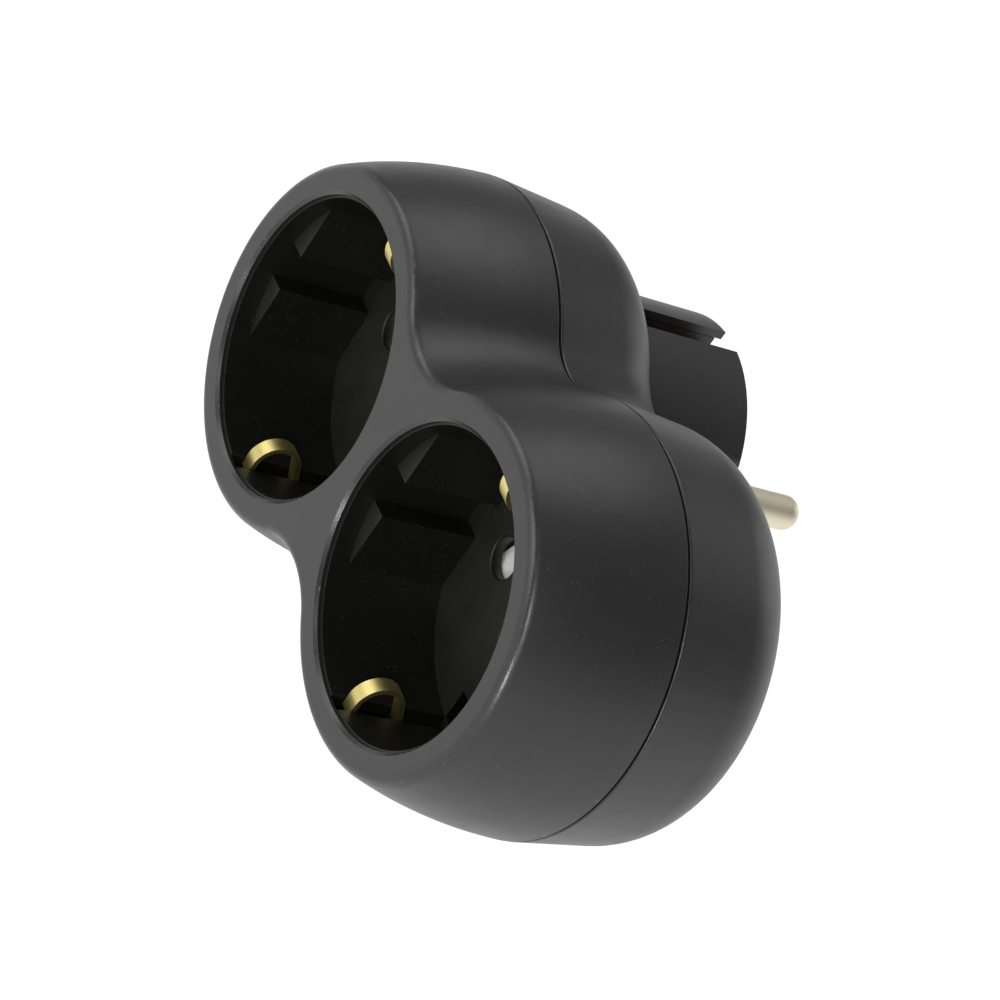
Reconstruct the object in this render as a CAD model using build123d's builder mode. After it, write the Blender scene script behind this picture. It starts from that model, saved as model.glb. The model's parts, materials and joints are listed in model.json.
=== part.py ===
from build123d import *
from math import atan2, cos, degrees, radians, sin, tan
import os

# Double socket adapter: one earthed plug behind, two earthed wells side by side in front.
# Millimetres. The origin is the centre of the plug's end, +Y runs out of the plug into the
# wall, +X runs from the well in line with the plug to the other well, and +Z is up.

# Pins and their holes
pin_diameter = 4.8
pin_pitch = 19.0
pin_reach = 19.0
pin_tip_round = 2.0
pin_hole_play = 0.5
pin_hole_bevel = 0.15
pin_root_step = 0.6
pin_collar_step = 0.6
pin_collar_length = 3.0
pin_spigot_step = 0.8

# Plug
plug_radius = 17.8
plug_length = 17.9
plug_side_flat = 15.3
plug_key_width = 4.8
sleeve_wall = 1.2
plug_face_recess = 1.0
flange_overlap = 1.0
earth_groove_width = 4.0
earth_groove_floor = 14.2

# Wells
well_radius = 19.2
well_depth = 17.6
well_floor = 1.6
well_wall = 1.7
well_spacing = 1.7
mouth_step = 0.3
mouth_lip = 0.9
mouth_bevel = 0.4
key_block_height = 3.3
key_notch_width = 5.5
key_ledge_depth = 3.6
tail_slot_length = 4.4

# Case outline: two round lobes and a hollow-sided waist
lip_width = 3.7
waist_depth = 7.2
front_depth = 19.6
rear_depth = 20.1
front_swell = 4.0
front_belly = 0.85
rear_draft = 5.4
front_round = 1.6
rear_round = 10.4
case_wall = 2.2
rear_wall = 2.0
cavity_draft = 9.6
cavity_corner_depth = 4.0
cavity_corner_draft = 54.5
seam_round = 0.25
tongue_thickness = 1.0
tongue_length = 1.4

# Earth strips
strip_thickness = 0.7
clip_width = 2.2
clip_arch_radius = 3.45
clip_arch_depth = 6.3
clip_foot_inset = 0.75
upper_clip_inset = 0.9
clip_tail = 1.7
clip_leg_lean = 22.0
clip_leg_gap = 0.4
strap_width = 5.0
strap_depth = 5.0
strap_bend = 0.6
earth_rivet_inset = 2.0
earth_foot_margin = 2.2
link_width = 4.2
groove_strip_width = 3.4
groove_strip_bow = 0.3
groove_strip_end = 3.0
bow_root = 3.3
bow_end = 4.5

# Live parts
bar_thickness = 0.8
bar_width = 3.9
bar_near_edge = 4.1
bar_tab_radius = 2.7
contact_sleeve_wall = 0.8
contact_sleeve_back = 2.4
contact_flare = 28.0
contact_slit = 0.7
contact_slit_length = 7.0
contact_width = 4.4
contact_tab_lift = 0.2
rivet_radius = 0.95
rivet_head_radius = 1.45
rivet_head_height = 0.6

# Shutters and their carriers
shutter_thickness = 3.0
shutter_overlap = 0.65
shutter_bottom = -6.3
shutter_web_half_width = 5.5
shutter_web_end = 9.5
shutter_edge = 0.5
shutter_edge_cover = 0.15
shutter_travel_play = 0.9
ramp_margin = 0.35
carrier_inset = 0.5
carrier_ring = 1.9
carrier_plate = 2.0
guide_rib = 0.8
guide_rib_length = 9.6
stop_rib = 1.2
web_stop_width = 6.0
collar_length = 4.2
collar_wall = 1.05
spring_radius = 1.3
spring_wire = 0.4
spring_turns = 6
spring_slot = 3.6
spring_seat = 3.0
post_gap = 0.45
post_radius = 1.6

# Case screws
screw_inset = 4.1
screw_tilt = 45.0
screw_radius = 1.25
screw_head_radius = 2.2
screw_head_height = 1.9
screw_length = 21.0
screw_seat_depth = 31.5
recess_play = 0.3
boss_skirt = 1.65
boss_wall = 1.15
screw_hole_wall = 0.3

# Clearances
fit_gap = 0.1
slide_gap = 0.3
rivet_gap = 0.05

# Places along Y that follow from the sizes above
rear_face = -plug_length
seam = rear_face - rear_depth
front_face = seam - front_depth
rear_inside = rear_face - rear_wall
mouth_inside = front_face + mouth_lip
face_inside = front_face + case_wall
floor_front = front_face + well_depth
floor_back = floor_front + well_floor
shutter_front = floor_back + slide_gap
shutter_back = shutter_front + shutter_thickness
plate_front = shutter_back + slide_gap
plate_back = plate_front + carrier_plate
bar_front = rear_inside - bar_thickness
foot_front = bar_front - bar_thickness
contact_rear = foot_front - contact_sleeve_back
contact_front = plate_front + fit_gap
strap_front = rear_inside - strap_depth
strap_back = strap_front + strip_thickness
link_front = strap_front - strip_thickness
arch_centre = front_face + clip_arch_depth
screw_seat = front_face + screw_seat_depth
boss_top = screw_seat - screw_length - screw_hole_wall
bow_start = -plug_length + bow_root

# Radii and distances across that follow from the sizes above
half_pitch = pin_pitch / 2
pin_radius = pin_diameter / 2
hole_radius = (pin_diameter + pin_hole_play) / 2
pin_root_radius = pin_radius + pin_root_step
pin_collar_radius = pin_root_radius + pin_collar_step
pin_spigot_radius = pin_radius - pin_spigot_step
insert_radius = well_radius + well_wall
mouth_radius = well_radius + mouth_step
key_chord = well_radius - key_block_height
pair_pitch = 2 * insert_radius + well_spacing
well_centres = {"left": 0.0, "right": pair_pitch}
lobe_radius = mouth_radius + lip_width
waist_half_height = lobe_radius - waist_depth
hollow_radius = ((pair_pitch / 2) ** 2 + waist_half_height**2 - lobe_radius**2) / (
    2 * (lobe_radius - waist_half_height)
)
flange_radius = plug_radius - sleeve_wall + flange_overlap
flange_thickness = rear_wall / 2
carrier_radius = insert_radius - carrier_inset
chamber_radius = carrier_radius - carrier_ring
sleeve_outer_radius = pin_radius + contact_sleeve_wall
collar_outer_radius = sleeve_outer_radius + fit_gap + collar_wall
post_spread = half_pitch + collar_outer_radius + post_gap + post_radius
contact_rivet_height = bar_near_edge + bar_thickness + fit_gap + rivet_head_radius
shutter_half_width = half_pitch + hole_radius + shutter_overlap
ramp_inner = half_pitch - hole_radius - ramp_margin
ramp_edge = hole_radius + shutter_edge_cover
shutter_travel = ramp_edge + pin_radius + shutter_travel_play
spring_stop = shutter_bottom - shutter_travel - slide_gap
web_stop = shutter_web_end + slide_gap
clip_arch_middle = clip_arch_radius - strip_thickness / 2
clip_leg_reach = insert_radius + clip_leg_gap + strip_thickness
earth_strip_out = earth_groove_floor + strip_thickness
earth_rivet_height = earth_groove_floor - earth_rivet_inset
recess_radius = screw_head_radius + recess_play
boss_radius = screw_radius + boss_skirt
screw_reach = lobe_radius + front_swell - screw_inset


def facing_front(y):
    """Plane across the object at y; sketches on it are X by Z, and extrusions run to the front."""
    return Plane.XZ.offset(-y)


def facing_rear(y):
    """Plane across the object at y whose extrusions run to the rear; its second axis is -Z."""
    return Plane(origin=(0, y, 0), x_dir=(1, 0, 0), z_dir=(0, 1, 0))


def side_plane(x):
    """Plane along the object at x; sketches on it are Y by Z, and extrusions run both ways in X."""
    return Plane.YZ.offset(x)


def figure_eight(grow):
    """The case outline, with each of its arcs moved out by grow."""
    lobe = lobe_radius + grow
    hollow = hollow_radius - grow
    middle = pair_pitch / 2
    lift = waist_half_height + hollow_radius
    lean = degrees(atan2(lift, middle))
    with BuildSketch() as outline:
        with BuildLine():
            CenterArc((0, 0), lobe, lean, 360 - 2 * lean)
            CenterArc((middle, -lift), hollow, 180 - lean, 2 * lean - 180)
            CenterArc((pair_pitch, 0), lobe, 180 + lean, 360 - 2 * lean)
            CenterArc((middle, lift), hollow, 360 - lean, 2 * lean - 180)
        make_face()
    return outline.sketch


def swell(y):
    """How far the front cover's side stands out at y from the outline of its face: a shallow bow."""
    along = (seam - y) / front_depth
    return front_swell * (1 - along) + 4 * front_belly * along * (1 - along)


def front_form(inset, end):
    """The front cover's form from the seam to end, with its sides drawn in by inset."""
    with BuildPart() as form:
        for y in (seam, (seam + end) / 2, end):
            with BuildSketch(facing_front(y)):
                add(figure_eight(swell(y) - inset))
        loft()
    return form.part


def screw_places():
    """Centres of the two case screws, a half turn apart about the middle of the case."""
    along = screw_reach * cos(radians(screw_tilt))
    up = screw_reach * sin(radians(screw_tilt))
    return [(-along, up), (pair_pitch + along, -up)]


def plug_section(inset):
    """Plug section drawn in by inset: round, with two key flats on each side of a key rib."""
    with BuildSketch() as rib:
        Circle(plug_radius - inset)
        Rectangle(3 * plug_radius, plug_key_width - 2 * inset, mode=Mode.INTERSECT)
    with BuildSketch() as section:
        Circle(plug_radius - inset)
        Rectangle(2 * (plug_side_flat - inset), 3 * plug_radius, mode=Mode.INTERSECT)
        add(rib.sketch)
    return section.sketch


def well_section():
    """Open section of a well between its key blocks, with the notch in the middle of each."""
    with BuildSketch() as notch:
        Circle(well_radius)
        Rectangle(3 * well_radius, key_notch_width, mode=Mode.INTERSECT)
    with BuildSketch() as section:
        Circle(well_radius)
        Rectangle(2 * key_chord, 3 * well_radius, mode=Mode.INTERSECT)
        add(notch.sketch)
    return section.sketch


def area(across, up, mode=Mode.ADD):
    """A rectangle in the open sketch, given by its limits along both of the sketch's axes."""
    with Locations((sum(across) / 2, sum(up) / 2)):
        Rectangle(abs(across[1] - across[0]), abs(up[1] - up[0]), mode=mode)


os.makedirs("parts", exist_ok=True)
finished = []


def keep(part, name):
    """Label a finished piece and write it."""
    part.label = name
    export_step(part, f"parts/{name}.step")
    finished.append(part)


# Front cover: a shell with bowed sides and a rounded face edge, two bevelled mouths, a ring
# that centres each well, two blind screw bosses and the tongue of the seam
with BuildPart() as front_outer:
    add(front_form(0, front_face))
    fillet(front_outer.faces().filter_by(Axis.Y).sort_by(Axis.Y)[0].edges(), front_round)
    fillet(front_outer.faces().filter_by(Axis.Y).sort_by(Axis.Y)[-1].edges(), seam_round)

with BuildPart() as front_cover:
    add(front_outer.part)
    add(front_form(case_wall, face_inside), mode=Mode.SUBTRACT)
    with BuildSketch(facing_front(seam)):
        with Locations(*screw_places()):
            Circle(boss_radius)
    extrude(amount=seam - boss_top + boss_wall)
    add(front_outer.part, mode=Mode.INTERSECT)
    with BuildSketch(facing_front(seam)):
        with Locations((0, 0), (pair_pitch, 0)):
            Circle(insert_radius + fit_gap)
    extrude(amount=seam - mouth_inside, mode=Mode.SUBTRACT)
    with BuildSketch(facing_front(seam)):
        with Locations(*screw_places()):
            Circle(screw_radius + rivet_gap)
    extrude(amount=seam - boss_top, mode=Mode.SUBTRACT)
    with BuildSketch(facing_front(mouth_inside)):
        with Locations((0, 0), (pair_pitch, 0)):
            Circle(mouth_radius)
    extrude(amount=mouth_lip, mode=Mode.SUBTRACT)
    face = front_cover.faces().filter_by(Axis.Y).sort_by(Axis.Y)[0]
    chamfer(face.inner_wires().edges(), mouth_bevel)
    with BuildSketch(facing_rear(seam)):
        add(figure_eight(front_swell - case_wall + tongue_thickness))
        add(figure_eight(front_swell - case_wall), mode=Mode.SUBTRACT)
    extrude(amount=tongue_length)
keep(front_cover.part, "front_cover")

# Rear cover: a strongly rounded shell with the plug's sleeve, a stepped opening for the pin
# carrier, two deep screw recesses, two posts behind the far well and the rebate of the seam
post_places = {
    side: [(x - post_spread, 0), (x + post_spread, 0)] for side, x in well_centres.items()
}
cavity_knee = rear_inside - cavity_corner_depth
knee_grow = front_swell - case_wall - (cavity_knee - seam) * tan(radians(cavity_draft))

with BuildPart() as rear_cavity:
    with BuildSketch(facing_rear(seam)):
        add(figure_eight(front_swell - case_wall))
    extrude(amount=cavity_knee - seam, taper=cavity_draft)
    with BuildSketch(facing_rear(cavity_knee)):
        add(figure_eight(knee_grow))
    extrude(amount=cavity_corner_depth, taper=cavity_corner_draft)
    with BuildSketch(facing_front(rear_face)):
        with Locations(*screw_places()):
            Circle(recess_radius + boss_wall)
    extrude(amount=rear_face - plate_back - slide_gap, mode=Mode.SUBTRACT)
    with BuildSketch(facing_front(rear_face)):
        with Locations(*screw_places()):
            Circle(boss_radius)
        with Locations((0, 0), (pair_pitch, 0)):
            Circle(carrier_radius + slide_gap, mode=Mode.SUBTRACT)
    extrude(amount=rear_face - seam, mode=Mode.SUBTRACT)
    with BuildSketch(facing_front(rear_face)):
        with Locations(*post_places["right"]):
            Circle(post_radius)
    extrude(amount=rear_face - plate_back, mode=Mode.SUBTRACT)

with BuildPart() as rear_cover:
    with BuildSketch(facing_rear(seam)):
        add(figure_eight(front_swell))
    extrude(amount=rear_depth, taper=rear_draft)
    fillet(rear_cover.faces().filter_by(Axis.Y).sort_by(Axis.Y)[-1].edges(), rear_round)
    fillet(rear_cover.faces().filter_by(Axis.Y).sort_by(Axis.Y)[0].edges(), seam_round)
    with BuildSketch(facing_rear(rear_face - rear_round)):
        add(plug_section(0))
    extrude(amount=rear_round + plug_length)
    add(rear_cavity.part, mode=Mode.SUBTRACT)
    with BuildSketch(facing_rear(rear_inside)):
        add(plug_section(sleeve_wall))
    extrude(amount=rear_wall + plug_length, mode=Mode.SUBTRACT)
    with BuildSketch(facing_front(rear_inside + flange_thickness)):
        Circle(flange_radius + fit_gap)
    extrude(amount=rear_round, mode=Mode.SUBTRACT)
    with BuildSketch(facing_rear(rear_face)):
        Rectangle(earth_groove_width, 3 * plug_radius)
        Rectangle(earth_groove_width, 2 * earth_groove_floor, mode=Mode.SUBTRACT)
    extrude(amount=plug_length, mode=Mode.SUBTRACT)
    with BuildSketch(facing_rear(seam)):
        add(figure_eight(front_swell - case_wall + tongue_thickness + fit_gap))
        add(figure_eight(front_swell - case_wall - fit_gap), mode=Mode.SUBTRACT)
    extrude(amount=tongue_length + fit_gap, mode=Mode.SUBTRACT)
    with BuildSketch(facing_front(rear_face)):
        with Locations(*screw_places()):
            Circle(recess_radius)
    extrude(amount=rear_face - screw_seat, mode=Mode.SUBTRACT)
    with BuildSketch(facing_front(screw_seat)):
        with Locations(*screw_places()):
            Circle(screw_radius + screw_hole_wall)
    extrude(amount=screw_seat - seam, mode=Mode.SUBTRACT)
keep(rear_cover.part, "rear_cover")

# Case screws: pan heads with a crossed slot
for side, place in zip(("left", "right"), screw_places()):
    with BuildPart() as case_screw:
        with BuildSketch(facing_rear(screw_seat)):
            with Locations((place[0], -place[1])):
                Circle(screw_head_radius)
        extrude(amount=screw_head_height)
        chamfer(case_screw.faces().sort_by(Axis.Y)[-1].edges(), screw_head_height / 3)
        with BuildSketch(facing_front(screw_seat + screw_head_height)):
            with Locations(place):
                Rectangle(screw_head_radius * 1.2, screw_head_radius / 4)
                Rectangle(screw_head_radius / 4, screw_head_radius * 1.2)
        extrude(amount=screw_head_height * 0.6, mode=Mode.SUBTRACT)
        with BuildSketch(facing_front(screw_seat)):
            with Locations(place):
                Circle(screw_radius)
        extrude(amount=screw_length)
        chamfer(case_screw.faces().sort_by(Axis.Y)[0].edges(), screw_radius / 2)
    keep(case_screw.part, f"case_screw_{side}")

# Wells: cups with two key blocks, each parted by a notch, a floor with two pin holes, and at
# top and bottom a slot for the earth clip, all along the wall and on into the floor
for side, centre in well_centres.items():
    with BuildPart() as socket:
        with BuildSketch(facing_front(floor_back)):
            with Locations((centre, 0)):
                Circle(insert_radius)
        extrude(amount=floor_back - mouth_inside)
        with BuildSketch(facing_front(floor_front)):
            with Locations((centre, 0)):
                add(well_section())
        extrude(amount=well_depth, mode=Mode.SUBTRACT)
        with BuildSketch(facing_front(front_face + key_ledge_depth)):
            with Locations((centre, 0)):
                Circle(well_radius)
        extrude(amount=key_ledge_depth, mode=Mode.SUBTRACT)
        with BuildSketch(facing_front(floor_back)):
            with Locations((centre - half_pitch, 0), (centre + half_pitch, 0)):
                Circle(hole_radius)
            with Locations((centre, 0)):
                Rectangle(clip_width + slide_gap, 2 * well_radius)
                Rectangle(clip_width + slide_gap, 2 * (well_radius - tail_slot_length), mode=Mode.SUBTRACT)
        extrude(amount=well_floor, mode=Mode.SUBTRACT)
        with BuildSketch(facing_front(floor_front)):
            with Locations((centre, 0)):
                Rectangle(clip_width + slide_gap, 3 * well_radius)
        extrude(amount=well_depth, mode=Mode.SUBTRACT)
        rims = socket.edges().filter_by(GeomType.CIRCLE)
        rims = rims.filter_by(lambda e: abs(e.radius - hole_radius) < fit_gap)
        chamfer(rims.group_by(Axis.Y)[0], pin_hole_bevel)
    keep(socket.part, f"socket_{side}")

# Contact carriers: each closes the shutter's chamber behind a well, guides the shutter
# between ribs, stops it and its spring, and holds the two contacts in collars
for side, centre in well_centres.items():
    contact_places = [(centre - half_pitch, 0), (centre + half_pitch, 0)]
    inner_rib = shutter_web_half_width + slide_gap
    outer_rib = shutter_half_width + slide_gap
    with BuildPart() as contact_carrier:
        with BuildSketch(facing_front(plate_back)):
            with Locations((centre, 0)):
                Circle(carrier_radius)
        extrude(amount=plate_back - floor_back)
        with BuildSketch(facing_front(plate_front)):
            with Locations((centre, 0)):
                Circle(chamber_radius)
        extrude(amount=plate_front - floor_back, mode=Mode.SUBTRACT)
        with BuildSketch(facing_front(plate_front)):
            for turn in (-1, 1):
                inner_side = (centre + turn * inner_rib, centre + turn * (inner_rib + guide_rib))
                outer_side = (centre + turn * outer_rib, centre + turn * (outer_rib + guide_rib))
                inner_end = ramp_edge + shutter_edge
                area(inner_side, (inner_end, inner_end + guide_rib_length))
                area(outer_side, (shutter_bottom - shutter_travel, ramp_edge))
            area(
                (centre - web_stop_width / 2, centre + web_stop_width / 2),
                (web_stop, web_stop + stop_rib),
            )
            area(
                (centre - spring_slot / 2, centre + spring_slot / 2),
                (spring_stop - stop_rib, spring_stop),
            )
        extrude(amount=plate_front - shutter_front)
        with BuildSketch(facing_rear(plate_back)):
            with Locations(*contact_places):
                Circle(collar_outer_radius)
        extrude(amount=collar_length)
        with BuildSketch(facing_rear(plate_back)):
            with Locations(*contact_places):
                Circle(sleeve_outer_radius + fit_gap)
        extrude(amount=collar_length, mode=Mode.SUBTRACT)
        with BuildSketch(facing_front(plate_back)):
            with Locations(*contact_places):
                Circle(sleeve_outer_radius + fit_gap)
        extrude(amount=carrier_plate, taper=-contact_flare, mode=Mode.SUBTRACT)
    keep(contact_carrier.part, f"contact_carrier_{side}")

# Shutters: a plate across both pin holes with a ramp behind each, a web between the guide
# ribs and a slot for the spring; pins on both ramps push the plate down by its travel
for side, centre in well_centres.items():
    with BuildPart() as shutter:
        with BuildSketch(facing_front(shutter_back)):
            area((centre - shutter_half_width, centre + shutter_half_width), (shutter_bottom, ramp_edge))
            area(
                (centre - shutter_web_half_width, centre + shutter_web_half_width),
                (shutter_bottom, shutter_web_end),
            )
            area(
                (centre - spring_slot / 2, centre + spring_slot / 2),
                (shutter_bottom, spring_seat),
                mode=Mode.SUBTRACT,
            )
        extrude(amount=shutter_thickness)
        for ramp_start in (centre - shutter_half_width, centre + ramp_inner):
            with BuildSketch(side_plane(ramp_start)):
                with BuildLine():
                    Polyline(
                        (shutter_front, -pin_radius),
                        (shutter_back - shutter_edge, ramp_edge),
                        (shutter_front, ramp_edge),
                        close=True,
                    )
                make_face()
            extrude(amount=shutter_half_width - ramp_inner, mode=Mode.SUBTRACT)
    keep(shutter.part, f"shutter_{side}")

# Shutter springs: open coils of square wire between the shutter's slot and the carrier's stop
for side, centre in well_centres.items():
    with BuildPart() as shutter_spring:
        coil_height = spring_seat - spring_stop - spring_wire - 2 * rivet_gap
        with BuildLine():
            coil = Helix(
                pitch=coil_height / spring_turns,
                height=coil_height,
                radius=spring_radius,
                center=(
                    centre,
                    (shutter_front + shutter_back) / 2,
                    spring_stop + spring_wire / 2 + rivet_gap,
                ),
            )
        with BuildSketch(Plane(origin=coil @ 0, z_dir=coil % 0)):
            RegularPolygon(spring_wire / 2, 4)
        sweep()
    keep(shutter_spring.part, f"shutter_spring_{side}")

# Pin carrier: the insulating body inside the plug's sleeve, with a flange against the rear
# wall, two grooves for the earth strips, stepped pin holes and two posts for the near contacts
with BuildPart() as pin_carrier:
    with BuildSketch(facing_rear(rear_inside)):
        add(plug_section(sleeve_wall + fit_gap))
    extrude(amount=rear_wall + plug_length - plug_face_recess)
    with BuildSketch(facing_rear(rear_inside)):
        Circle(flange_radius)
    extrude(amount=flange_thickness)
    with BuildSketch(facing_rear(rear_inside)):
        Rectangle(earth_groove_width, 3 * plug_radius)
        Rectangle(earth_groove_width, 2 * earth_groove_floor, mode=Mode.SUBTRACT)
    extrude(amount=rear_wall + plug_length, mode=Mode.SUBTRACT)
    with BuildSketch(facing_front(rear_inside)):
        with Locations(*post_places["left"]):
            Circle(post_radius)
    extrude(amount=rear_inside - plate_back)
    with BuildSketch(facing_rear(rear_inside)):
        with Locations((-half_pitch, 0), (half_pitch, 0)):
            Circle(pin_root_radius + rivet_gap)
    extrude(amount=rear_wall + plug_length, mode=Mode.SUBTRACT)
    with BuildSketch(facing_rear(rear_inside)):
        with Locations((-half_pitch, 0), (half_pitch, 0)):
            Circle(pin_collar_radius + rivet_gap)
    extrude(amount=pin_collar_length, mode=Mode.SUBTRACT)
keep(pin_carrier.part, "pin_carrier")

# Plug pins: a collar against the carrier's step, a root in the carrier, the bare pin with a
# rounded tip, and a spigot spread in its bar
for pole, across in (("live", -half_pitch), ("neutral", half_pitch)):
    with BuildPart() as plug_pin:
        with BuildSketch(facing_rear(rear_inside)):
            with Locations((across, 0)):
                Circle(pin_root_radius)
        extrude(amount=rear_wall + plug_length - plug_face_recess)
        with BuildSketch(facing_rear(rear_inside)):
            with Locations((across, 0)):
                Circle(pin_collar_radius)
        extrude(amount=pin_collar_length)
        with BuildSketch(facing_rear(-plug_face_recess)):
            with Locations((across, 0)):
                Circle(pin_radius)
        extrude(amount=plug_face_recess + pin_reach)
        fillet(plug_pin.faces().sort_by(Axis.Y)[-1].edges(), pin_tip_round)
        with BuildSketch(facing_front(rear_inside)):
            with Locations((across, 0)):
                Circle(pin_spigot_radius)
        extrude(amount=bar_thickness)
    keep(plug_pin.part, f"plug_pin_{pole}")

# Live and neutral bars: flat strips along the rear wall above and below the pins, each with a
# tab round its pin's spigot and two rivet holes
for pole, across, turn in (("live", -half_pitch, 1), ("neutral", half_pitch, -1)):
    with BuildPart() as bar:
        with BuildSketch(facing_front(rear_inside)):
            area(
                (across - bar_tab_radius, across + pair_pitch + bar_tab_radius),
                (turn * bar_near_edge, turn * (bar_near_edge + bar_width)),
            )
            area(
                (across - bar_tab_radius, across + bar_tab_radius),
                (0, turn * (bar_near_edge + bar_width)),
            )
            with Locations((across, 0)):
                Circle(bar_tab_radius)
                Circle(pin_spigot_radius + rivet_gap, mode=Mode.SUBTRACT)
            rivet_level = turn * contact_rivet_height
            with Locations((across, rivet_level), (across + pair_pitch, rivet_level)):
                Circle(rivet_radius + rivet_gap, mode=Mode.SUBTRACT)
        extrude(amount=bar_thickness)
    keep(bar.part, f"{pole}_bar")

# Contacts: a slit sleeve with a flared mouth that takes a pin, and a bracket bent out to the
# bar it is riveted to
for side, centre in well_centres.items():
    for pole, across, turn in (("live", centre - half_pitch, 1), ("neutral", centre + half_pitch, -1)):
        bracket_out = bar_near_edge + bar_thickness
        with BuildPart() as contact:
            with BuildSketch(facing_front(contact_rear)):
                with Locations((across, 0)):
                    Circle(sleeve_outer_radius)
            extrude(amount=contact_rear - plate_back)
            with BuildSketch(facing_front(plate_back)):
                with Locations((across, 0)):
                    Circle(sleeve_outer_radius)
            extrude(amount=plate_back - contact_front, taper=-contact_flare)
            with BuildSketch(side_plane(across)):
                area(
                    (contact_rear - bar_thickness, contact_rear),
                    (turn * (pin_radius + contact_tab_lift), turn * bracket_out),
                )
                area(
                    (contact_rear - bar_thickness, bar_front),
                    (turn * bar_near_edge, turn * bracket_out),
                )
                area((foot_front, bar_front), (turn * bar_near_edge, turn * (bar_near_edge + bar_width)))
            extrude(amount=contact_width / 2, both=True)
            with BuildSketch(facing_front(contact_rear)):
                with Locations((across, 0)):
                    Circle(pin_radius)
            extrude(amount=contact_rear - plate_back, mode=Mode.SUBTRACT)
            with BuildSketch(facing_front(plate_back)):
                with Locations((across, 0)):
                    Circle(pin_radius)
            extrude(amount=plate_back - contact_front, taper=-contact_flare, mode=Mode.SUBTRACT)
            with BuildSketch(facing_rear(contact_front)):
                with Locations((across, 0)):
                    Rectangle(4 * sleeve_outer_radius, contact_slit)
                    Rectangle(contact_slit, 4 * sleeve_outer_radius)
            extrude(amount=contact_slit_length, mode=Mode.SUBTRACT)
            with BuildSketch(facing_front(bar_front)):
                with Locations((across, turn * contact_rivet_height)):
                    Circle(rivet_radius + rivet_gap)
            extrude(amount=bar_thickness, mode=Mode.SUBTRACT)
        keep(contact.part, f"contact_{side}_{pole}")

# Contact rivets: one through each contact's foot and its bar
with BuildPart() as contact_rivets:
    rivet_places = [
        (-half_pitch, contact_rivet_height),
        (pair_pitch - half_pitch, contact_rivet_height),
        (half_pitch, -contact_rivet_height),
        (pair_pitch + half_pitch, -contact_rivet_height),
    ]
    with BuildSketch(facing_front(rear_inside)):
        with Locations(*rivet_places):
            Circle(rivet_radius)
    extrude(amount=rear_inside - foot_front)
    with BuildSketch(facing_front(foot_front)):
        with Locations(*rivet_places):
            Circle(rivet_head_radius)
    extrude(amount=rivet_head_height)
keep(contact_rivets.part, "contact_rivets")

# Earth bows: one strap behind each well from the clip at the top to the clip at the bottom;
# each clip comes through the wall slot as an arch on a leaning leg and ends in a tail behind
# the mouth; the upper clip springs further into the well than the lower one
for side, centre in well_centres.items():
    with BuildPart() as earth_bow:
        for turn, inset in ((1, clip_foot_inset + upper_clip_inset), (-1, clip_foot_inset)):
            foot = well_radius - inset
            reach = clip_leg_reach - strip_thickness / 2
            with BuildSketch(side_plane(centre)):
                with BuildLine():
                    Line(
                        (arch_centre - clip_arch_middle, turn * (foot + clip_tail)),
                        (arch_centre - clip_arch_middle, turn * foot),
                    )
                    arch = CenterArc(
                        (arch_centre, turn * foot), clip_arch_middle, 180, turn * (180 - clip_leg_lean)
                    )
                    leg_start = arch @ 1
                    leg_run = (reach - abs(leg_start.Y)) * tan(radians(clip_leg_lean))
                    Line(leg_start, (leg_start.X + leg_run, turn * reach))
                trace(line_width=strip_thickness)
            extrude(amount=clip_width / 2, both=True)
            with BuildSketch(side_plane(centre)):
                area(
                    (leg_start.X + leg_run, strap_back),
                    (turn * (clip_leg_reach - strip_thickness), turn * clip_leg_reach),
                )
                area((strap_front, strap_back), (0, turn * clip_leg_reach))
            extrude(amount=strap_width / 2, both=True)
        bends = earth_bow.edges().filter_by(Axis.X).group_by(Axis.Z)
        fillet([group.sort_by(Axis.Y)[-1] for group in (bends[0], bends[-1])], strap_bend)
        with BuildSketch(facing_front(strap_back)):
            with Locations((centre, earth_rivet_height)):
                Circle(rivet_radius + rivet_gap)
            if side == "left":
                with Locations((centre, -earth_rivet_height)):
                    Circle(rivet_radius + rivet_gap)
        extrude(amount=strip_thickness, mode=Mode.SUBTRACT)
    keep(earth_bow.part, f"earth_bow_{side}")

# Earth link: joins the two bows across the waist of the case
with BuildPart() as earth_link:
    with BuildSketch(facing_front(strap_front)):
        area(
            (-strap_width / 2, pair_pitch + strap_width / 2),
            (earth_rivet_height - link_width / 2, earth_rivet_height + link_width / 2),
        )
        with Locations((0, earth_rivet_height), (pair_pitch, earth_rivet_height)):
            Circle(rivet_radius + rivet_gap, mode=Mode.SUBTRACT)
    extrude(amount=strip_thickness)
keep(earth_link.part, "earth_link")

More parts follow.
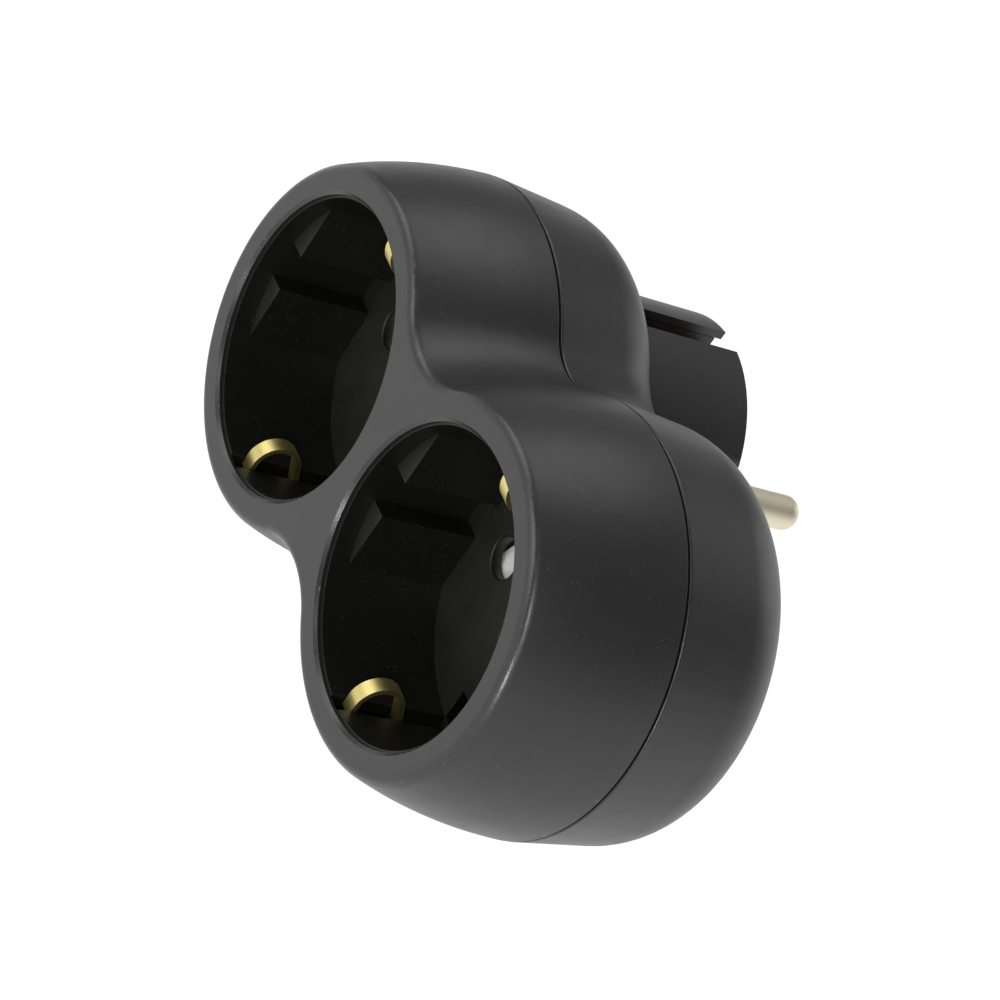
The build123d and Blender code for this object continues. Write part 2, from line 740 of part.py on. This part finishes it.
# Plug earth strips: each lies in a groove of the plug, bowed outward to spring against the
# wall socket's clip, with a foot bent in behind the near bow
for side, turn in (("top", 1), ("bottom", -1)):
    foot_end = earth_rivet_height - earth_foot_margin
    bow_top = earth_groove_floor + groove_strip_bow
    bow_middle = (bow_start - bow_end) / 2
    with BuildPart() as plug_earth:
        with BuildSketch(side_plane(0)):
            with BuildLine():
                Polyline(
                    (bow_start, earth_groove_floor),
                    (strap_back + strip_thickness, earth_groove_floor),
                    (strap_back + strip_thickness, foot_end),
                    (strap_back, foot_end),
                    (strap_back, earth_strip_out),
                    (bow_start, earth_strip_out),
                )
                ThreePointArc(
                    (bow_start, earth_strip_out),
                    (bow_middle, bow_top + strip_thickness),
                    (-bow_end, earth_strip_out),
                )
                Polyline(
                    (-bow_end, earth_strip_out),
                    (-groove_strip_end, earth_strip_out),
                    (-groove_strip_end, earth_groove_floor),
                    (-bow_end, earth_groove_floor),
                )
                ThreePointArc(
                    (-bow_end, earth_groove_floor),
                    (bow_middle, bow_top),
                    (bow_start, earth_groove_floor),
                )
            make_face()
        extrude(amount=groove_strip_width / 2, both=True)
        with BuildSketch(facing_rear(strap_back)):
            with Locations((0, -earth_rivet_height)):
                Circle(rivet_radius + rivet_gap)
        extrude(amount=strip_thickness, mode=Mode.SUBTRACT)
        if turn < 0:
            mirror(about=Plane.XY, mode=Mode.REPLACE)
    keep(plug_earth.part, f"plug_earth_{side}")

# Earth rivets: two through the near bow and the plug's strips, one through the far bow
with BuildPart() as earth_rivets:
    for place, front, back in (
        ((0, earth_rivet_height), link_front, strap_back + strip_thickness),
        ((0, -earth_rivet_height), strap_front, strap_back + strip_thickness),
        ((pair_pitch, earth_rivet_height), link_front, strap_back),
    ):
        with BuildSketch(facing_front(back)):
            with Locations(place):
                Circle(rivet_radius)
        extrude(amount=back - front)
        with BuildSketch(facing_front(front)):
            with Locations(place):
                Circle(rivet_head_radius)
        extrude(amount=rivet_head_height)
        with BuildSketch(facing_rear(back)):
            with Locations((place[0], -place[1])):
                Circle(rivet_head_radius)
        extrude(amount=rivet_head_height)
keep(earth_rivets.part, "earth_rivets")

print(f"{len(finished)} pieces")
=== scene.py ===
import json
import math

import bmesh
import bpy
from mathutils import Matrix, Vector

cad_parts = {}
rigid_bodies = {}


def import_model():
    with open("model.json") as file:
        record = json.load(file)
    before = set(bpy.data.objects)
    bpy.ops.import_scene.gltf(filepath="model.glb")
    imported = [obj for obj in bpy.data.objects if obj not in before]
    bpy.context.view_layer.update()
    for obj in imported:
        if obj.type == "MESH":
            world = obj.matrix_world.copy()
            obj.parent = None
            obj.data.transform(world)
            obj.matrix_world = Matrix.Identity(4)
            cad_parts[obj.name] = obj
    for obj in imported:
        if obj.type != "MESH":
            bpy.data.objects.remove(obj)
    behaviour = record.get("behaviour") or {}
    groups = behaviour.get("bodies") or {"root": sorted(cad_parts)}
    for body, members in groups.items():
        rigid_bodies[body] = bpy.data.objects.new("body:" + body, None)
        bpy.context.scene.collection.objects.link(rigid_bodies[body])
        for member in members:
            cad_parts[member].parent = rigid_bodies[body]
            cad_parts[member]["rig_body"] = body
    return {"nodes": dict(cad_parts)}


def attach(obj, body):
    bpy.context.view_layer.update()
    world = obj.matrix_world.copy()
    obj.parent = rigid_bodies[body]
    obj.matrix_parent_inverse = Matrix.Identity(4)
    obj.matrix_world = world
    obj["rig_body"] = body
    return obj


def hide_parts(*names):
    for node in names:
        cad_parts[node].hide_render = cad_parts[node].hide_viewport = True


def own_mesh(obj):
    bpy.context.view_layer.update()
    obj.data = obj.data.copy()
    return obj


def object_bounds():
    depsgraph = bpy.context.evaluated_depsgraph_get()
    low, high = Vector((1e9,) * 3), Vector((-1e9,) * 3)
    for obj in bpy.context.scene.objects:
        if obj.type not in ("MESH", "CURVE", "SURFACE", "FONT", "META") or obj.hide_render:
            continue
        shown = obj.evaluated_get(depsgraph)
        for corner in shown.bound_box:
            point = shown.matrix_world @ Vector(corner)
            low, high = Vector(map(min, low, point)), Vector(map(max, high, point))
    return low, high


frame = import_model()
cad_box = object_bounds()
nodes = frame["nodes"]
MM = 0.001


# Front cover: the half of the case that faces the user, a black thermoplastic moulding with a
# fine eroded skin. It is one shell with bowed sides, a rounded face edge and two mouths.
class Wire:
    """A socket inside a material, so that shader sums are written as Python sums."""

    def __init__(self, tree, socket):
        self.tree = tree
        self.socket = socket

    def node(self, kind, settings=None, inputs=None, output=0):
        """Adds one node with its settings and its sockets' values or links."""
        made = self.tree.nodes.new(kind)
        for name, value in (settings or {}).items():
            if name == "stops":
                ramp = made.color_ramp
                while len(ramp.elements) < len(value):
                    ramp.elements.new(0.5)
                for element, (place, colour) in zip(ramp.elements, value):
                    element.position = place
                    element.color = colour
            else:
                setattr(made, name, value)
        for key, value in (inputs or {}).items():
            if isinstance(value, Wire):
                self.tree.links.new(value.socket, made.inputs[key])
            else:
                made.inputs[key].default_value = value
        return Wire(self.tree, made.outputs[output])

    def sum(self, operation, *values):
        return self.node("ShaderNodeMath", {"operation": operation}, dict(enumerate(values)))

    def __add__(self, other):
        return self.sum("ADD", self, other)

    def __radd__(self, other):
        return self.sum("ADD", other, self)

    def __sub__(self, other):
        return self.sum("SUBTRACT", self, other)

    def __rsub__(self, other):
        return self.sum("SUBTRACT", other, self)

    def __mul__(self, other):
        return self.sum("MULTIPLY", self, other)

    def __rmul__(self, other):
        return self.sum("MULTIPLY", other, self)

    def __gt__(self, other):
        return self.sum("GREATER_THAN", self, other)

    def __lt__(self, other):
        return self.sum("LESS_THAN", self, other)


def new_material(name):
    """An empty finish: the material, its shader and the Object coordinates to build on."""
    material = bpy.data.materials.new(name)
    material.use_nodes = True
    tree = material.node_tree
    shader = tree.nodes["Principled BSDF"]
    place = Wire(tree, tree.nodes.new("ShaderNodeTexCoord").outputs["Object"])
    return material, shader, place


def noise(place, size, detail=2.0):
    """A noise from 0 to 1 whose grains are about size across, in metres."""
    return place.node("ShaderNodeTexNoise", None, {"Vector": place, "Scale": 1 / size, "Detail": detail})


def feed(shader, socket, wire):
    """Links a wire into one of the shader's sockets."""
    wire.tree.links.new(wire.socket, shader.inputs[socket])


def blend_colours(mask, low, high):
    """The colour low where mask is 0 and high where it is 1."""
    return mask.node("ShaderNodeMix", {"data_type": "RGBA"}, {"Factor": mask, 6: low, 7: high}, output=2)


def bump(height, depth, under=None):
    """A bump of a height from 0 to 1 that is depth high, in metres, on top of the one under it."""
    sockets = {"Height": height, "Distance": depth}
    if under:
        sockets["Normal"] = under
    return height.node("ShaderNodeBump", None, sockets)


def dust(place, spread, size, share):
    """Small specks about size across, one or none in each cell of spread, as a mask."""
    cells = place.node("ShaderNodeTexVoronoi", None, {"Vector": place, "Scale": 1 / spread})
    tint = Wire(place.tree, cells.socket.node.outputs["Color"])
    chance = tint.node("ShaderNodeSeparateColor", None, {"Color": tint})
    return (cells < 0.5 * size / spread) * (chance < share)


def along_axis(place, axis):
    """One of the coordinates of a place, in metres."""
    return place.node("ShaderNodeSeparateXYZ", None, {"Vector": place}, output="XYZ".index(axis))


def near(wire, value, width):
    """1 where a wire is at value, falling to 0 at width from it."""
    distance = wire.sum("ABSOLUTE", wire - value)
    return wire.sum("MAXIMUM", 1 - distance * (1 / width), 0.0)


def facing(place, axis):
    """How far the skin at a place faces along an axis, from -1 to 1."""
    return along_axis(Wire(place.tree, place.socket.node.outputs["Normal"]), axis)


def moulded_plastic(
    name, dark, light, roughness, depth=0.006 * MM, specks=0.3, ior=1.6, wear_highlight_mask=None, matt_painted_light=None
):
    """A thermoplastic moulding with a fine eroded skin, uneven gloss and a little settled dust.

    Where the rim mask is high, hands and plugs have worn the skin smoother, and the skin is painted paler in
    a broken line: partly wear and partly a painted highlight. Where the matt mask is high, the mould was
    left rougher, and the skin is painted paler in blotches: a painted light."""
    material, shader, place = new_material(name)
    skin = noise(place, 0.25 * MM, detail=3.0)
    patches = noise(place, 12 * MM)
    rubbed = noise(place, 3 * MM, detail=4.0)
    dust_colour = (0.30, 0.30, 0.29, 1)
    slanted = place.node(
        "ShaderNodeMapping", None, {"Vector": place, "Rotation": (0.5, 0.3, 0.8), "Scale": (1, 0.16, 1)}
    )
    lint = dust(slanted, 1.1 * MM, 0.1 * MM, 0.5 * specks)
    speck = dust(place, 0.5 * MM, 0.1 * MM, specks)
    colour = blend_colours(patches * 0.6 + skin * 0.4, (*dark, 1), (*light, 1))
    gloss = patches * 0.06 + rubbed * 0.08 + skin * 0.06 + (roughness - 0.1)
    if wear_highlight_mask:
        rim_wear_sheen = wear_highlight_mask(place)
        scratches_and_highlight = rim_wear_sheen * near(noise(place, 0.7 * MM, detail=3.0), 0.78, 0.16)
        # The worn rims are painted paler in a broken line: partly wear and partly a painted highlight.
        colour = blend_colours(scratches_and_highlight, colour, tuple(8 * part for part in light) + (1,))
        gloss = gloss - rim_wear_sheen * 0.17
    if matt_painted_light:
        rough_lit_skin = matt_painted_light(place)
        painted_light_blotches = noise(place, 4 * MM, detail=3.0)
        # Where the matt mask is high, the skin is painted paler in blotches: a painted light, on top of the
        # rougher finish.
        colour = blend_colours(rough_lit_skin * painted_light_blotches, colour, tuple(2.6 * part for part in light) + (1,))
        gloss = gloss + rough_lit_skin * 0.05
    feed(shader, "Base Color", blend_colours(speck * 0.45 + lint * 0.2, colour, dust_colour))
    feed(shader, "Roughness", gloss)
    feed(shader, "Normal", bump(speck, 0.02 * MM, bump(skin, depth)))
    shader.inputs["IOR"].default_value = ior
    return material


def softened(name, edge, material, seam_gap=0.0):
    """Stands in for a frame piece: the same shape as one smooth skin, with its outer edges broken.

    edge is the width of the broken edges and seam_gap the distance that the piece is drawn back
    from the seam, both in millimetres."""
    weld = 0.003 * MM
    seam_slope = 1.0
    flat, corner, crease = math.radians(0.4), math.radians(30), math.radians(40)
    mesh = nodes[name].data.copy()
    mesh.name = f"{name}_skin"
    mesh.materials.clear()
    mesh.materials.append(material)
    shape = bmesh.new()
    shape.from_mesh(mesh)
    bmesh.ops.remove_doubles(shape, verts=shape.verts, dist=weld)
    bmesh.ops.dissolve_degenerate(shape, dist=weld, edges=shape.edges)
    bmesh.ops.dissolve_limit(
        shape,
        angle_limit=flat,
        verts=shape.verts,
        edges=shape.edges,
        use_dissolve_boundaries=False,
    )
    for vertex in shape.verts:
        ahead = (SEAM - vertex.co.y) / MM
        if -0.05 < ahead < seam_slope:
            vertex.co.y -= seam_gap * MM * (1.0 - max(ahead, 0.0) / seam_slope)
    turns = [e for e in shape.edges if e.is_manifold and e.calc_face_angle_signed() > corner]
    if edge:
        bmesh.ops.bevel(
            shape,
            geom=turns,
            offset=edge * MM,
            offset_type="OFFSET",
            segments=2,
            profile=0.5,
            affect="EDGES",
            clamp_overlap=False,
            material=-1,
        )
    for face in shape.faces:
        face.smooth = True
    for edge_line in shape.edges:
        edge_line.smooth = edge_line.calc_face_angle(0.0) < crease
    shape.to_mesh(mesh)
    shape.free()
    piece = bpy.data.objects.new(f"{name}_skin", mesh)
    bpy.context.collection.objects.link(piece)
    normals = piece.modifiers.new("flat_faces_first", "WEIGHTED_NORMAL")
    normals.keep_sharp = True
    normals.weight = 100
    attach(piece, nodes[name]["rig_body"])
    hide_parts(name)
    return piece


SEAM = -38.0 * MM


def worn_and_highlit_rims(place):
    """The slanting skin of the mouths' bevels and of the face's outer edge, and the seam's edges: worn skin
    that is also painted paler as a painted highlight.
    """
    seam_edges = near(along_axis(place, "Y"), SEAM + 0.25 * MM, 0.3 * MM)
    return near(facing(place, "Y"), -0.74, 0.22) + seam_edges * 0.4


case_plastic = moulded_plastic(
    "case plastic", (0.0105, 0.0108, 0.011), (0.0135, 0.0138, 0.014), 0.42, wear_highlight_mask=worn_and_highlit_rims
)
softened("front_cover", 0, case_plastic, seam_gap=0.36)

# Rear cover: the half of the case that faces the wall, with the plug's sleeve in one piece.
# It is moulded in the same plastic as the front.
softened("rear_cover", 0, case_plastic)

# Wells: cups of a glossier black plastic pressed into the front cover, each with two key
# blocks, a floor with two pin holes, and slots for the earth clips.
def front_facing(place):
    """The well's floor and the ledges of its key blocks, and not its walls; these are made rougher and
    painted paler in blotches, a painted light.
    """
    return near(facing(place, "Y"), -1.0, 0.3)


# Its colours are darker than the case plastic's: a painted shade of the wells' insides.
well_plastic_painted_shade = moulded_plastic(
    "well plastic",
    (0.0050, 0.0052, 0.0038),
    (0.0074, 0.0076, 0.0057),
    0.42,
    depth=0.003 * MM,
    ior=1.42,
    matt_painted_light=front_facing,
)
for side in ("left", "right"):
    softened(f"socket_{side}", 0.06, well_plastic_painted_shade)

# Inner mouldings: the pin carrier shows at the plug's end, the contact carriers through the
# pin holes.
inner_plastic = moulded_plastic("inner plastic", (0.008, 0.008, 0.008), (0.011, 0.011, 0.011), 0.45)
softened("pin_carrier", 0, inner_plastic)
for side in ("left", "right"):
    softened(f"contact_carrier_{side}", 0, inner_plastic)

# Shutters: white slippery plastic, seen through the pin holes.
shutter_plastic = moulded_plastic("shutter plastic", (0.74, 0.74, 0.72), (0.80, 0.80, 0.78), 0.3, specks=0.0)
for side in ("left", "right"):
    softened(f"shutter_{side}", 0.1, shutter_plastic)


def drawn_metal(name, dark, light, roughness, run=(1, 1, 1), depth=0.002 * MM):
    """A rolled or turned metal with fine lines along run, some tarnish and uneven gloss."""
    material, shader, place = new_material(name)
    along = place.node("ShaderNodeMapping", None, {"Vector": place, "Scale": run})
    lines = noise(along, 0.3 * MM, detail=4.0)
    tarnish = noise(place, 2.5 * MM, detail=3.0)
    feed(shader, "Base Color", blend_colours(tarnish * 0.7 + lines * 0.3, (*dark, 1), (*light, 1)))
    feed(shader, "Roughness", lines * 0.12 + tarnish * 0.14 + (roughness - 0.13))
    feed(shader, "Normal", bump(lines, depth))
    shader.inputs["Metallic"].default_value = 1.0
    return material


# Earth clips: bright rolled brass strip, bent to an arch that springs against a plug's side.
brass = drawn_metal(
    "rolled brass", (0.70, 0.57, 0.20), (0.88, 0.75, 0.32), 0.42, run=(1, 0.1, 1), depth=0.0004 * MM
)
for side in ("left", "right"):
    softened(f"earth_bow_{side}", 0.05, brass)

# Plug's side contacts: the same strip in the grooves of the plug, painted much darker than the clips' brass:
# a painted shade of the grooves.
groove_shaded_brass = drawn_metal("brass with painted groove shade", (0.13, 0.10, 0.05), (0.30, 0.24, 0.11), 0.42, run=(1, 0.1, 1))
for turn in ("top", "bottom"):
    softened(f"plug_earth_{turn}", 0.05, groove_shaded_brass)

# Live parts: brass bars and contacts inside the case, and their rivets.
for name in (
    "earth_link",
    "live_bar",
    "neutral_bar",
    "contact_left_live",
    "contact_left_neutral",
    "contact_right_live",
    "contact_right_neutral",
    "contact_rivets",
    "earth_rivets",
):
    nodes[name].data.materials.clear()
    nodes[name].data.materials.append(brass)

# Plug pins: turned brass, nickel plated to a satin finish. The colour is paler than plain nickel,
# because this room's ceiling is dim.
nickel = drawn_metal("satin nickel", (0.76, 0.69, 0.52), (0.88, 0.81, 0.64), 0.52, run=(1, 8, 1))
for pole in ("live", "neutral"):
    softened(f"plug_pin_{pole}", 0, nickel)

# Case screws: zinc plated steel, seen in the recesses of the rear cover.
steel = drawn_metal("plated steel", (0.35, 0.35, 0.36), (0.5, 0.5, 0.5), 0.3)
for side in ("left", "right"):
    nodes[f"case_screw_{side}"].data.materials.clear()
    nodes[f"case_screw_{side}"].data.materials.append(steel)

# Shutter springs: steel wire coils that stand on the carrier below each shutter, each given a mesh of its
# own. In the real socket, a shutter that a plug pushes down shortens its spring by its whole travel.
for side in ("left", "right"):
    spring = softened(f"shutter_spring_{side}", 0, steel)
    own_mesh(spring)

# Floor and light: a plain pale floor below the object, a room that is brighter at its horizon
# than at its ceiling, and six soft lamps.
floor_mesh = bpy.data.meshes.new("floor")
shape = bmesh.new()
bmesh.ops.create_grid(shape, x_segments=1, y_segments=1, size=6.0)
bmesh.ops.translate(shape, verts=shape.verts, vec=(0, 0, -160 * MM))
shape.to_mesh(floor_mesh)
shape.free()
floor = bpy.data.objects.new("floor", floor_mesh)
bpy.context.collection.objects.link(floor)
floor_finish, shader, place = new_material("pale floor")
shader.inputs["Base Color"].default_value = (0.8, 0.8, 0.8, 1)
shader.inputs["Roughness"].default_value = 0.9
rays = place.node("ShaderNodeLightPath").socket.node
looked_at = Wire(place.tree, rays.outputs["Is Camera Ray"]) + Wire(place.tree, rays.outputs["Is Glossy Ray"])
shine = place.node("ShaderNodeEmission", None, {"Color": (1, 1, 1, 1), "Strength": 1.15})
mixed = place.node("ShaderNodeMixShader", None, {0: looked_at * 0.88, 2: shine})
place.tree.links.new(shader.outputs[0], mixed.socket.node.inputs[1])
place.tree.links.new(mixed.socket, place.tree.nodes["Material Output"].inputs["Surface"])
floor_mesh.materials.append(floor_finish)

CEILING = 0.2
HORIZON = 0.77
world = bpy.data.worlds.new("room")
world.use_nodes = True
backdrop = world.node_tree.nodes["Background"]
sky = Wire(world.node_tree, world.node_tree.nodes.new("ShaderNodeTexCoord").outputs["Generated"])
rays = sky.node("ShaderNodeLightPath").socket.node
looked_at = Wire(world.node_tree, rays.outputs["Is Camera Ray"])
sweep = near(along_axis(sky, "Z"), 0.0, 0.4) * (HORIZON - CEILING) + CEILING
world.node_tree.links.new((looked_at.sum("MAXIMUM", looked_at, sweep)).socket, backdrop.inputs["Strength"])
backdrop.inputs["Color"].default_value = (1, 1, 1, 1)
bpy.context.scene.world = world


def soft_lamp(name, place, target, size, power):
    """A square soft lamp at place that points at target."""
    data = bpy.data.lights.new(name, "AREA")
    data.size = size
    data.energy = power
    lamp = bpy.data.objects.new(name, data)
    bpy.context.collection.objects.link(lamp)
    lamp.location = place
    lamp.rotation_mode = "QUATERNION"
    lamp.rotation_quaternion = (Vector(target) - Vector(place)).to_track_quat("-Z", "Y")


middle = (cad_box[0] + cad_box[1]) / 2
soft_lamp("front lamp", middle + Vector((-0.05, -0.8, 0.3)), middle, 0.4, 1.5)
soft_lamp("front right lamp", middle + Vector((0.58, -0.66, -0.08)), middle, 0.12, 1.5)
soft_lamp("front left lamp", middle + Vector((-0.5, -0.5, 0.5)), middle, 0.5, 1.5)
soft_lamp("top lamp", middle + Vector((-0.35, 0.1, 0.8)), middle, 0.6, 1.7)
soft_lamp("back lamp", middle + Vector((-0.1, 0.8, 0.35)), middle, 0.5, 0.9)
soft_lamp("camera lamp", middle + Vector((0.6, -0.55, 0.38)), middle, 0.12, 2.0)

# Camera: the photograph's own viewing angle, from the front, the right and above.
camera_data = bpy.data.cameras.new("camera")
camera = bpy.data.objects.new("camera", camera_data)
bpy.context.collection.objects.link(camera)
right = Vector((0.3240, 0.7957, 0.5117))
down = Vector((0.6654, 0.1928, -0.7212))
forward = Vector((-0.6725, 0.5742, -0.4670))
aim = Matrix((right, -down, -forward)).transposed()
camera.matrix_world = Matrix.Translation(Vector((312.76, -283.83, 201.65)) * MM) @ aim.to_4x4()
camera_data.sensor_width = 36.0
camera_data.lens = 3.5 * camera_data.sensor_width
camera_data.clip_start = 0.01
bpy.context.scene.camera = camera
bpy.context.scene.view_settings.view_transform = "Standard"
